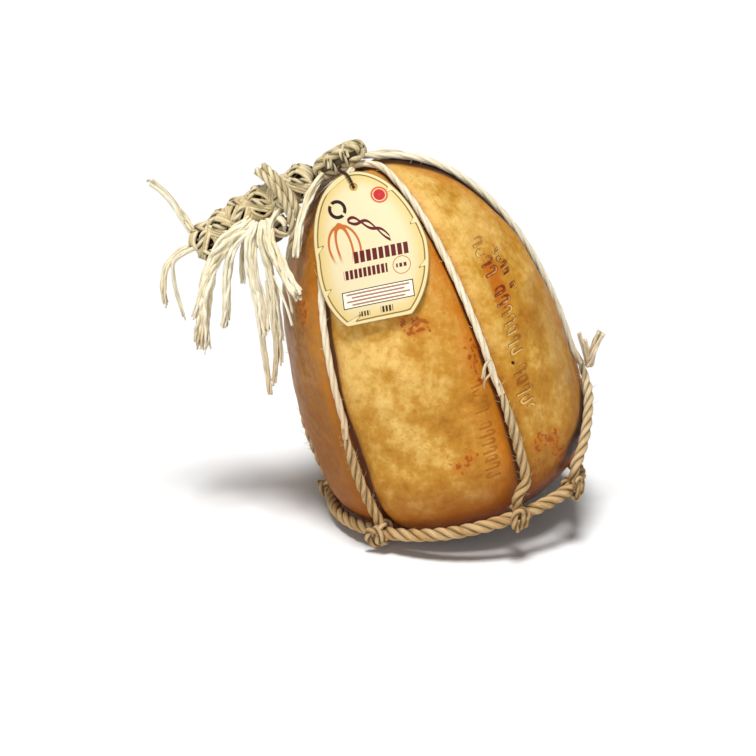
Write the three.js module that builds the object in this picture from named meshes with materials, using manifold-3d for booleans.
// A whole pear-shaped provolone cheese in its rope harness, with a paper tag.
//
// Six rope ties run from a crown knot at the neck down the creases of the lobed cheese, and each
// is hitched to one base ring of rope. Past the crown knot the free ropes are knotted into a
// short chain that sticks out over the left shoulder, with loose tails and a tassel hanging from
// it. The tag hangs from the crown knot on a short dark string and lies on the front shoulder.
//
// Millimetres, +Z up. The cheese leans to the left (-X) on a small flat spot, as it stands on a
// table. Azimuths are degrees round the cheese's own axis: 0 faces the front (-Y), 90 is the
// right (+X). The origin is at the middle of the object's footprint, on the table.

import * as THREE from 'three';
import Module from 'manifold-3d';
import { mergeVertices } from 'three/addons/utils/BufferGeometryUtils.js';

const wasm = await Module();
wasm.setup();

// ---------------------------------------------------------------- driving dimensions

// cheese: an egg of revolution, widest low down, with a lobe between each two ties
const GIRTH_RADIUS = 86;
const NECK_LENGTH = 162;
const FOOT_LENGTH = 69;
const FULLNESS = 2.6;
const LEAN = THREE.MathUtils.degToRad(17.2);
const CENTRE_HEIGHT = 69.7;
const CREASE_DEPTH = 3.2;
const LOBE_SHARPNESS = 5;
const CREASE_FADE = 6;

// rope harness
// each tie has its azimuth, the height at which its thicker spliced length ends, the azimuth of
// its hitch on the base ring, and the places that it passes on its way there: the azimuth, how
// far the rope's middle stands off the plain egg, and the height
const TIES = [
  { azimuth: -40, spliceTop: 30, hitchAzimuth: -40, passes: [] },
  { azimuth: 27, spliceTop: 34, hitchAzimuth: 19.5, passes: [[21.2, 7, -37], [25.6, 5, -30.5]] },
  {
    azimuth: 87,
    spliceTop: 12,
    hitchAzimuth: 50,
    passes: [[51.2, 10.5, -39.5], [56, 9, -35.5], [62, 7, -30], [69, 5.2, -24], [80, 5, -12]],
  },
  { azimuth: 145, spliceTop: 26, hitchAzimuth: 145, passes: [] },
  { azimuth: 204, spliceTop: 18, hitchAzimuth: 204, passes: [] },
  { azimuth: 262, spliceTop: 30, hitchAzimuth: 262, passes: [] },
];
const CORD_RADIUS = 2.8;
const SPLICE_RADIUS = 4;
const CORD_LIFT = 3.7;
const SPLICE_LIFT = 7;
const CROWN_RADIUS = 11;
const RING_RADIUS = 82;
const RING_LEVEL = -49;
const RING_TILT = 5;
const RING_SQUEEZE_UP = 6.5;
const RING_SQUEEZE_OUT = 3.5;
const RING_ROPE_RADIUS = 4.7;
const RING_TUCK = { from: 56, to: 138, inward: 14, down: 2.5 };
const HITCH_RADIUS = 7.6;
const HITCH_LENGTH = 14;
const GAP = 0.4;

// knotted chain on the left shoulder
const CHAIN_KNOTS = 6;
const KNOT_RADIUS = 10;
const CROWN_KNOT = { length: 31, width: 15, height: 12 };

// paper tag: an egg-shaped card, cut straight across its foot, with its upper half bowed left
const TAG_HALF_WIDTH = 34;
const TAG_TOP_HEIGHT = 56;
const TAG_LOWER_HEIGHT = 45;
const TAG_LENGTH = 92.8;
const TAG_BOW = 0.146;
const TAG_THICKNESS = 0.9;
const TAG_HOLE_RADIUS = 2.6;
const TAG_HOLE_DOWN = 10;

// ---------------------------------------------------------------- materials

function finish(color, roughness) {
  return new THREE.MeshStandardMaterial({ color, roughness, metalness: 0 });
}

const MATERIALS = {
  rind: finish('#c08c46', 0.55),
  rope: finish('#e6dab4', 0.9),
  paper: finish('#f6ecbe', 0.8),
  string: finish('#2c211c', 0.8),
};

const part = new THREE.Group();
const at = (x, y, z) => new THREE.Vector3(x, y, z);

function indexed(positions, faces) {
  const geometry = new THREE.BufferGeometry();
  geometry.setAttribute('position', new THREE.Float32BufferAttribute(positions, 3));
  geometry.setIndex(faces);
  return geometry;
}

function add(name, geometry, material) {
  const mesh = new THREE.Mesh(geometry, material);
  mesh.name = name;
  part.add(mesh);
  return mesh;
}

// ---------------------------------------------------------------- form of the cheese

const toRadians = THREE.MathUtils.degToRad;

// radius of the plain egg at a height above its widest section
function girth(height) {
  const end = height >= 0 ? NECK_LENGTH : FOOT_LENGTH;
  const reach = Math.min(Math.abs(height) / end, 1);
  return GIRTH_RADIUS * Math.sqrt(1 - reach ** FULLNESS);
}

// 1 round the middle of the cheese, falling to 0 at both poles
function creaseStrength(height) {
  const end = height >= 0 ? NECK_LENGTH : FOOT_LENGTH;
  return 1 - Math.min(Math.abs(height) / end, 1) ** CREASE_FADE;
}

// turns a point of the leaning cheese into the standing frame
function stand(x, y, height) {
  const across = x * Math.cos(LEAN) - height * Math.sin(LEAN);
  const up = x * Math.sin(LEAN) + height * Math.cos(LEAN) + CENTRE_HEIGHT;
  return at(across, y, up);
}

function around(azimuth, radius, height) {
  const angle = toRadians(azimuth);
  return stand(radius * Math.sin(angle), -radius * Math.cos(angle), height);
}

// the azimuths of one row of the surface, closer together next to each tie
const STEPS_PER_LOBE = 10;
const CROWDING = 0.06;
const SURFACE_COLUMNS = TIES.flatMap(({ azimuth: start }, index) => {
  const next = TIES[index + 1]?.azimuth ?? TIES[0].azimuth + 360;
  return Array.from({ length: STEPS_PER_LOBE }, (_, step) => {
    const share = step / STEPS_PER_LOBE;
    const eased = share - CROWDING * Math.sin(2 * Math.PI * share);
    const fromMiddle = Math.abs(2 * eased - 1);
    return { azimuth: start + eased * (next - start), crease: fromMiddle ** LOBE_SHARPNESS };
  });
});

function cheese() {
  const ROWS = 28;
  const positions = [];
  const lay = (point) => positions.push(point.x, point.y, Math.max(point.z, 0));
  lay(stand(0, 0, -FOOT_LENGTH));
  for (let row = 1; row < ROWS; row += 1) {
    const sweep = Math.sin((row / ROWS - 0.5) * Math.PI);
    const height = sweep >= 0 ? sweep * NECK_LENGTH : sweep * FOOT_LENGTH;
    for (const { azimuth, crease } of SURFACE_COLUMNS) {
      const depth = CREASE_DEPTH * crease * creaseStrength(height);
      lay(around(azimuth, girth(height) - depth, height));
    }
  }
  lay(stand(0, 0, NECK_LENGTH));

  const columns = SURFACE_COLUMNS.length;
  const vertex = (row, column) => 1 + (row - 1) * columns + (column % columns);
  const top = 1 + (ROWS - 1) * columns;
  const faces = [];
  for (let column = 0; column < columns; column += 1) {
    faces.push(0, vertex(1, column + 1), vertex(1, column));
    for (let row = 1; row < ROWS - 1; row += 1) {
      faces.push(vertex(row, column), vertex(row, column + 1), vertex(row + 1, column + 1));
      faces.push(vertex(row, column), vertex(row + 1, column + 1), vertex(row + 1, column));
    }
    faces.push(top, vertex(ROWS - 1, column), vertex(ROWS - 1, column + 1));
  }
  return indexed(positions, faces);
}

// ---------------------------------------------------------------- ropes and knots

// a plain rope along a smooth route, with eight sides
function rope(route, radius, stepLength = radius * 5) {
  const curve = new THREE.CatmullRomCurve3(route);
  const section = new THREE.Shape();
  for (let side = 0; side < 8; side += 1) {
    const angle = (side / 8) * 2 * Math.PI;
    const method = side === 0 ? 'moveTo' : 'lineTo';
    section[method](radius * Math.cos(angle), radius * Math.sin(angle));
  }
  section.closePath();
  const steps = Math.max(3, Math.ceil(curve.getLength() / stepLength));
  return new THREE.ExtrudeGeometry(section, { steps, bevelEnabled: false, extrudePath: curve });
}

// a barrel-shaped lump standing on its own axis, Y
function lump(radius, halfLength) {
  const STEPS = 6;
  const profile = [new THREE.Vector2(0, -halfLength)];
  for (let step = 1; step < STEPS; step += 1) {
    const angle = (step / STEPS - 0.5) * Math.PI;
    const out = Math.cos(angle) ** 0.6;
    const along = Math.sign(angle) * Math.abs(Math.sin(angle)) ** 0.8;
    profile.push(new THREE.Vector2(radius * out, halfLength * along));
  }
  profile.push(new THREE.Vector2(0, halfLength));
  return new THREE.LatheGeometry(profile, 10);
}

function pointAlong(mesh, centre, direction) {
  mesh.position.copy(centre);
  mesh.quaternion.setFromUnitVectors(at(0, 1, 0), direction.clone().normalize());
}

// centre line of the base ring: a tilted circle, squeezed up and out where the cheese leans on
// it, and drawn in under the cheese where two hitches are far apart
function ringPoint(azimuth) {
  const side = Math.sin(toRadians(azimuth));
  const squeeze = Math.max(-side, 0) ** 2;
  const share = (azimuth - RING_TUCK.from) / (RING_TUCK.to - RING_TUCK.from);
  const tuck = share > 0 && share < 1 ? Math.sin(Math.PI * share) ** 2 : 0;
  const radius = RING_RADIUS + RING_SQUEEZE_OUT * squeeze - RING_TUCK.inward * tuck;
  const level = RING_LEVEL - RING_TILT * side + RING_SQUEEZE_UP * squeeze - RING_TUCK.down * tuck;
  return around(azimuth, radius, level);
}

function ringDirection(azimuth) {
  return ringPoint(azimuth + 1).sub(ringPoint(azimuth - 1)).normalize();
}

function baseRing() {
  const SEAM = 204;
  const SEAM_GAP = 0.4;
  const POINTS = 48;
  const route = Array.from({ length: POINTS + 1 }, (_, index) => {
    const share = index / POINTS;
    return ringPoint(SEAM - 360 + SEAM_GAP + share * (360 - 2 * SEAM_GAP));
  });
  add('base_ring', rope(route, RING_ROPE_RADIUS, 11), MATERIALS.rope);
}

// the hitch of a tie round the base ring: a collar that the ring runs through
function hitch(index, azimuth) {
  const inner = RING_ROPE_RADIUS + 2 * GAP;
  const half = HITCH_LENGTH / 2;
  const profile = [
    new THREE.Vector2(inner, -half),
    new THREE.Vector2(HITCH_RADIUS - 1.2, -half),
    new THREE.Vector2(HITCH_RADIUS, 0),
    new THREE.Vector2(HITCH_RADIUS - 1.2, half),
    new THREE.Vector2(inner, half),
    new THREE.Vector2(inner, -half),
  ];
  const collar = add(`hitch_${index}`, new THREE.LatheGeometry(profile, 12), MATERIALS.rope);
  pointAlong(collar, ringPoint(azimuth), ringDirection(azimuth));
}

// a tie: a cord in the crease from the crown down, then a thicker spliced length to the ring
function tie(index, { azimuth, spliceTop, hitchAzimuth, passes }) {
  const onCrease = (height, lift) => {
    const valley = girth(height) - CREASE_DEPTH * creaseStrength(height);
    const slope = (girth(height + 1) - girth(height - 1)) / 2;
    const tilt = Math.hypot(1, slope);
    return around(azimuth, valley + lift / tilt, height - (lift * slope) / tilt);
  };
  const crownHeight = NECK_LENGTH * (1 - (CROWN_RADIUS / GIRTH_RADIUS) ** 2) ** (1 / FULLNESS);
  const cordRoute = [];
  for (let step = 0; step <= 9; step += 1) {
    const share = Math.sin((step / 9) * Math.PI * 0.5);
    cordRoute.push(onCrease(spliceTop + share * (crownHeight - spliceTop), CORD_LIFT));
  }
  add(`tie_${index}_cord`, rope(cordRoute, CORD_RADIUS), MATERIALS.rope);

  const hitchCentre = ringPoint(hitchAzimuth);
  const onTheWay = passes.map(([side, off, height]) => around(side, girth(height) + off, height));
  onTheWay.push(onCrease(-6, SPLICE_LIFT));
  // the rope leaves the hitch square to the base ring
  const reach = onTheWay[0].clone().sub(hitchCentre);
  reach.projectOnPlane(ringDirection(hitchAzimuth)).normalize();
  const spliceRoute = [
    hitchCentre.clone().addScaledVector(reach, HITCH_RADIUS + GAP),
    ...onTheWay,
    onCrease(spliceTop / 2, SPLICE_LIFT),
    onCrease(spliceTop - 0.5, SPLICE_LIFT - 0.6),
  ];
  add(`tie_${index}_splice`, rope(spliceRoute, SPLICE_RADIUS), MATERIALS.rope);
}

// ---------------------------------------------------------------- crown knot, chain and tails

function crownKnot() {
  const knot = lump(CROWN_KNOT.width / 2, CROWN_KNOT.length / 2);
  knot.scale(1, 1, CROWN_KNOT.height / CROWN_KNOT.width);
  const mesh = add('crown_knot', knot, MATERIALS.rope);
  mesh.position.set(-65, -4.4, 228.4);
  // its length runs down the shoulder, from upper right to lower left
  const along = at(27, 0, 16).normalize();
  const outward = at(-16, 0, 27).normalize();
  const axes = new THREE.Matrix4().makeBasis(along.clone().cross(outward), along, outward);
  mesh.setRotationFromMatrix(axes);
}

const CHAIN_ROUTE = new THREE.CatmullRomCurve3([
  at(-82, -3, 216.5),
  at(-101, -4, 206.5),
  at(-123, -5, 194),
  at(-150, -4, 174),
]);

function chain() {
  const halfLength = CHAIN_ROUTE.getLength() / CHAIN_KNOTS / 2 - GAP;
  for (let index = 0; index < CHAIN_KNOTS; index += 1) {
    const share = (index + 0.5) / CHAIN_KNOTS;
    const knot = add(`chain_knot_${index + 1}`, lump(KNOT_RADIUS, halfLength), MATERIALS.rope);
    pointAlong(knot, CHAIN_ROUTE.getPointAt(share), CHAIN_ROUTE.getTangentAt(share));
  }
}

// loose ends of rope: each has a radius and the points that its route runs through
const TAILS = {
  tail_high: { radius: 2.6, route: [at(-157, 0, 184), at(-167, 0, 200), at(-180, 0, 215)] },
  tail_left: {
    radius: 2.6,
    route: [at(-161.5, -6, 170), at(-169, -6, 163), at(-172, -6, 151), at(-171, -6, 137)],
  },
  tail_left_thin: {
    radius: 1.8,
    route: [at(-157, -13, 167), at(-164, -13, 162), at(-165, -13, 150), at(-159, -13, 130)],
  },
  tail_beside_tag: {
    radius: 2.8,
    route: [at(-79, -14, 214), at(-82, -22, 209), at(-87, -31, 198), at(-90, -39, 179)],
  },
  chain_band: {
    radius: 4,
    route: [at(-111, -16, 221), at(-102, -20, 216), at(-95, -22, 204), at(-91, -21, 191)],
  },
  tassel_1: {
    radius: 6,
    route: [at(-130, -19, 176), at(-139, -22, 164), at(-146, -23, 146), at(-149, -24, 115)],
  },
  tassel_2: {
    radius: 3.6,
    route: [at(-121, -20, 171), at(-128, -23, 160), at(-132, -24, 146), at(-134, -24, 129)],
  },
  tassel_3: { radius: 1.8, route: [at(-120, -7, 172), at(-123, -11, 163), at(-124, -12, 153)] },
  tassel_4: {
    radius: 3.4,
    route: [at(-113, -24, 172), at(-115, -27, 160), at(-113, -27, 140), at(-107, -28, 90)],
  },
  tassel_5: {
    radius: 3.4,
    route: [at(-104, -23, 173), at(-105, -30, 163), at(-102, -32, 145), at(-100, -32, 112)],
  },
  tassel_6: {
    radius: 5.5,
    route: [at(-99, -27, 181), at(-97, -38, 173), at(-92, -48, 165), at(-88, -55, 159)],
  },
  frayed_end_1: { radius: 1.8, route: [at(84, -10, 110), at(82.5, -11, 116), at(80, -11, 123)] },
  frayed_end_2: { radius: 1.6, route: [at(88.5, 0, 109), at(88, 0.5, 113), at(86.5, 1, 117)] },
  frayed_end_3: { radius: 2.2, route: [at(89, -6, 110), at(91, -7, 116), at(94, -7, 122)] },
  frayed_end_4: { radius: 1.6, route: [at(23, -85, 115.5), at(21, -84.5, 121), at(19, -83, 126)] },
};

function tails() {
  for (const [name, { radius, route }] of Object.entries(TAILS)) {
    add(name, rope(route, radius), MATERIALS.rope);
  }
  // the binding that the tassel hangs from, under the chain
  const binding = add('tassel_binding', lump(8, 16), MATERIALS.rope);
  pointAlong(binding, at(-109, -15, 183), at(1, 0, 0.3));
}

// ---------------------------------------------------------------- tag and string

// the tag's own axes on the front shoulder: down its length, across it, and out of its face
const TAG_DOWN = at(0.117, -0.58, -0.806).normalize();
const TAG_OUT = at(-0.284, -0.82, 0.497).normalize();
const TAG_ACROSS = TAG_OUT.clone().cross(TAG_DOWN).normalize();
// the way in which the card is pressed back on the cheese
const TAG_PRESS = at(0, 0.939, -0.343);
const TAG_CENTRE = at(-45.9, -58.1, 188.4);
const TAG_CENTRE_DOWN = 50;

function tagHalfWidth(down) {
  const height = down < TAG_TOP_HEIGHT ? TAG_TOP_HEIGHT : TAG_LOWER_HEIGHT;
  return TAG_HALF_WIDTH * Math.sqrt(Math.max(1 - ((TAG_TOP_HEIGHT - down) / height) ** 2, 0));
}

// how far a point is outside the cheese with its ropes on, along the cheese's radius
function clearance(point) {
  const above = point.z - CENTRE_HEIGHT;
  const localX = point.x * Math.cos(LEAN) + above * Math.sin(LEAN);
  const height = -point.x * Math.sin(LEAN) + above * Math.cos(LEAN);
  const ropeTop = CORD_LIFT + CORD_RADIUS + GAP - CREASE_DEPTH * creaseStrength(height);
  const lift = Math.max(ropeTop, 1);
  const scale = 1 + lift / GIRTH_RADIUS;
  return Math.hypot(localX, point.y) - scale * girth(height / scale);
}

// presses a point of the flat tag back on the ropes and the cheese
function drape(across, down) {
  const bow = TAG_BOW * Math.max(TAG_CENTRE_DOWN - down, 0);
  const flat = TAG_CENTRE.clone()
    .addScaledVector(TAG_ACROSS, across - bow)
    .addScaledVector(TAG_DOWN, down - TAG_CENTRE_DOWN);
  let outside = 40;
  let inside = -45;
  for (let step = 0; step < 40; step += 1) {
    const middle = (outside + inside) / 2;
    if (clearance(flat.clone().addScaledVector(TAG_PRESS, -middle)) > 0) {
      outside = middle;
    } else {
      inside = middle;
    }
  }
  return flat.addScaledVector(TAG_PRESS, -outside);
}

function tagCard() {
  const ROWS = 12;
  const COLUMNS = 8;
  const positions = [];
  for (const height of [0, TAG_THICKNESS]) {
    for (let row = 0; row <= ROWS; row += 1) {
      const down = 1 + (TAG_LENGTH - 1) * (row / ROWS) ** 1.3;
      for (let column = 0; column <= COLUMNS; column += 1) {
        const across = tagHalfWidth(down) * (2 * (column / COLUMNS) - 1);
        const point = drape(across, down).addScaledVector(TAG_OUT, height);
        positions.push(point.x, point.y, point.z);
      }
    }
  }
  const layer = (ROWS + 1) * (COLUMNS + 1);
  const back = (row, column) => row * (COLUMNS + 1) + column;
  const front = (row, column) => layer + back(row, column);
  const faces = [];
  const quad = (a, b, c, d) => faces.push(a, b, c, a, c, d);
  for (let row = 0; row < ROWS; row += 1) {
    for (let column = 0; column < COLUMNS; column += 1) {
      const corners = [[row, column], [row + 1, column], [row + 1, column + 1], [row, column + 1]];
      quad(...corners.map((corner) => front(...corner)));
      quad(...corners.reverse().map((corner) => back(...corner)));
    }
  }
  // the rim: both sides, then the top and the foot
  const wall = (from, to) => quad(back(...from), back(...to), front(...to), front(...from));
  for (let row = 0; row < ROWS; row += 1) {
    wall([row, 0], [row + 1, 0]);
    wall([row + 1, COLUMNS], [row, COLUMNS]);
  }
  for (let column = 0; column < COLUMNS; column += 1) {
    wall([0, column + 1], [0, column]);
    wall([ROWS, column], [ROWS, column + 1]);
  }
  return indexed(positions, faces);
}

function toManifold(geometry) {
  const bare = geometry.clone();
  bare.deleteAttribute('normal');
  bare.deleteAttribute('uv');
  const merged = mergeVertices(bare, 1e-4);
  const mesh = new wasm.Mesh({
    numProp: 3,
    vertProperties: new Float32Array(merged.attributes.position.array),
    triVerts: new Uint32Array(merged.index.array),
  });
  return new wasm.Manifold(mesh);
}

function fromManifold(solid) {
  const { vertProperties, triVerts } = solid.getMesh();
  return indexed(vertProperties, Array.from(triVerts));
}

function tag() {
  const eye = drape(0, TAG_HOLE_DOWN);
  const drill = new THREE.CylinderGeometry(TAG_HOLE_RADIUS, TAG_HOLE_RADIUS, 14, 12);
  const turn = new THREE.Quaternion().setFromUnitVectors(at(0, 1, 0), TAG_OUT);
  drill.applyQuaternion(turn);
  drill.translate(eye.x, eye.y, eye.z);
  const card = toManifold(tagCard()).subtract(toManifold(drill));
  add('tag', fromManifold(card), MATERIALS.paper);

  // the string runs from under the crown knot, over the tag's top edge and into the hole
  const route = [
    at(-66, -13.6, 225.5),
    drape(-1, 3).addScaledVector(TAG_OUT, 4.6),
    drape(0, TAG_HOLE_DOWN - 0.8).addScaledVector(TAG_OUT, 4.4),
    drape(0, TAG_HOLE_DOWN + 0.3).addScaledVector(TAG_OUT, 0.6),
  ];
  add('tag_string', rope(route, 1.1), MATERIALS.string);
}

// ---------------------------------------------------------------- assembly

add('cheese', cheese(), MATERIALS.rind);
baseRing();
TIES.forEach((side, index) => {
  hitch(index + 1, side.hitchAzimuth);
  tie(index + 1, side);
});
crownKnot();
chain();
tails();
tag();

// the origin goes to the middle of the footprint, on the table
part.updateMatrixWorld(true);
const outline = new THREE.Box3().setFromObject(part, true);
const middle = outline.getCenter(new THREE.Vector3());
part.position.set(-middle.x, -middle.y, -outline.min.z);

export default part;
